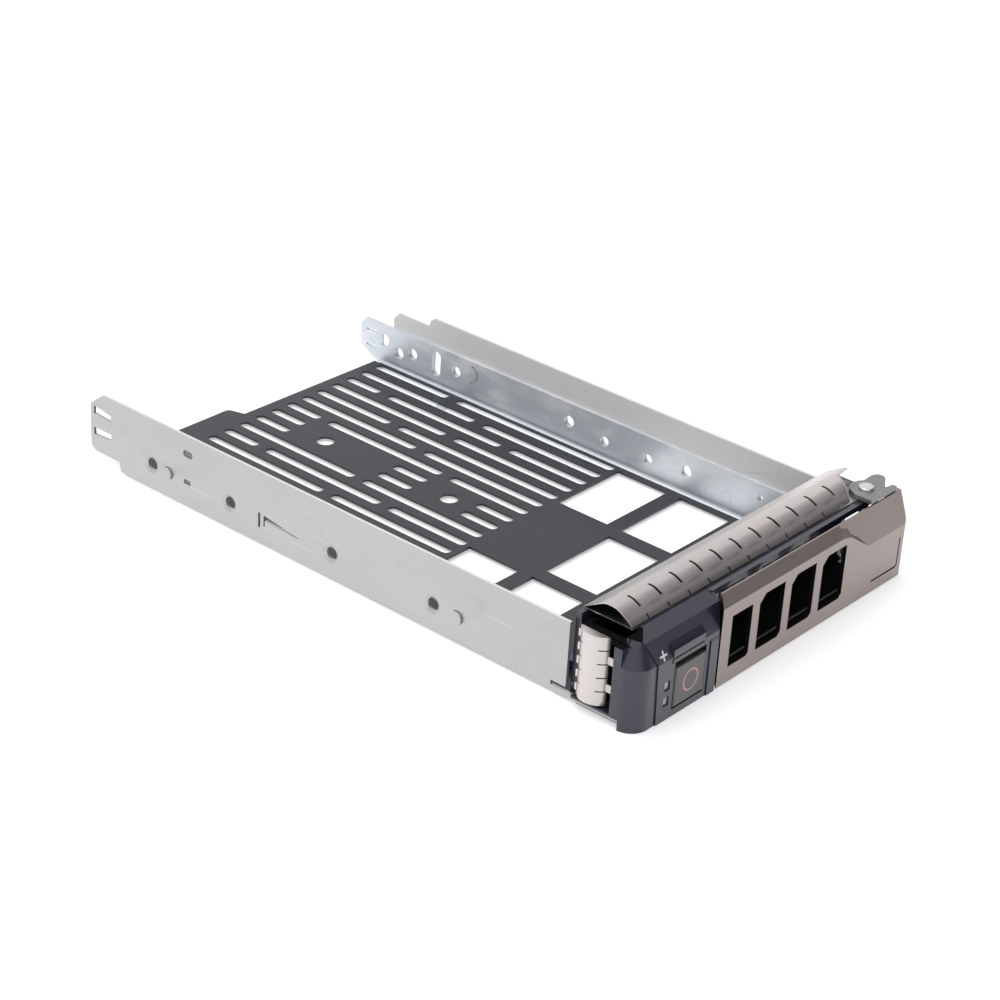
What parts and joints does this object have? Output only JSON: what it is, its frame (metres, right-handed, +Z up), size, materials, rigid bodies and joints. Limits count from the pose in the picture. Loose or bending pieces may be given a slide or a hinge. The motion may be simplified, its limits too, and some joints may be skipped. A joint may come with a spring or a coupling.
{
  "type": "hot swap drive caddy",
  "caption": "Open metal drive tray with folded side rails, slotted base plate, vented front bezel, swinging handle and rocking release button.",
  "frame": {"origin": "bottom centre of the bounding box of the whole caddy with its handle closed", "axes": "+Z up, +Y from the front bezel to the open rear end, +X from the button side to the handle's hinge"},
  "size_m": [0.1138, 0.1916, 0.0282],
  "materials": {
    "steel": "satin",
    "zinc": "satin",
    "plate_paint": "satin",
    "bezel_plastic": "matt",
    "spring_steel": "bright",
    "clear_plastic": "clear",
    "handle_paint": "satin metallic",
    "lever_steel": "dull",
    "pin_steel": "bright",
    "button_plastic": "matt",
    "ring_plastic": "gloss"
  },
  "bodies": {
    "frame": {"left_rail": "steel", "right_outer_rail": "steel", "right_inner_rail": "zinc", "base_plate": "plate_paint", "left_rivets": "plate_paint", "right_rivets": "plate_paint", "wall_rivets": "zinc", "bezel": "bezel_plastic", "bezel_screws": "zinc", "hinge_plate": "lever_steel", "vent_screen": "plate_paint", "top_spring": "spring_steel", "side_spring": "spring_steel", "light_pipe_upper": "clear_plastic", "light_pipe_lower": "clear_plastic", "handle_pin": "pin_steel", "handle_spring": "spring_steel", "button_pin": "pin_steel", "button_spring": "spring_steel"},
    "handle": {"handle": "handle_paint", "hinge_lever": "lever_steel", "lever_rivets": "lever_steel"},
    "button": {"release_button": "button_plastic", "button_ring": "ring_plastic"}
  },
  "joints": [
    {"name": "handle_swing", "type": "hinge", "parent": "frame", "child": "handle", "pos_m": [0.0476, -0.0874, 0.012], "axis": [0, 0, 1], "range_deg": [0, 60]},
    {"name": "button_press", "type": "hinge", "parent": "frame", "child": "button", "pos_m": [-0.0357, -0.0924, 0.0144], "axis": [1, 0, 0], "range_deg": [0, 9], "stiffness_Nm_per_rad": 0.08, "springref_deg": -4.58, "deforming": ["button_spring"]}
  ]
}
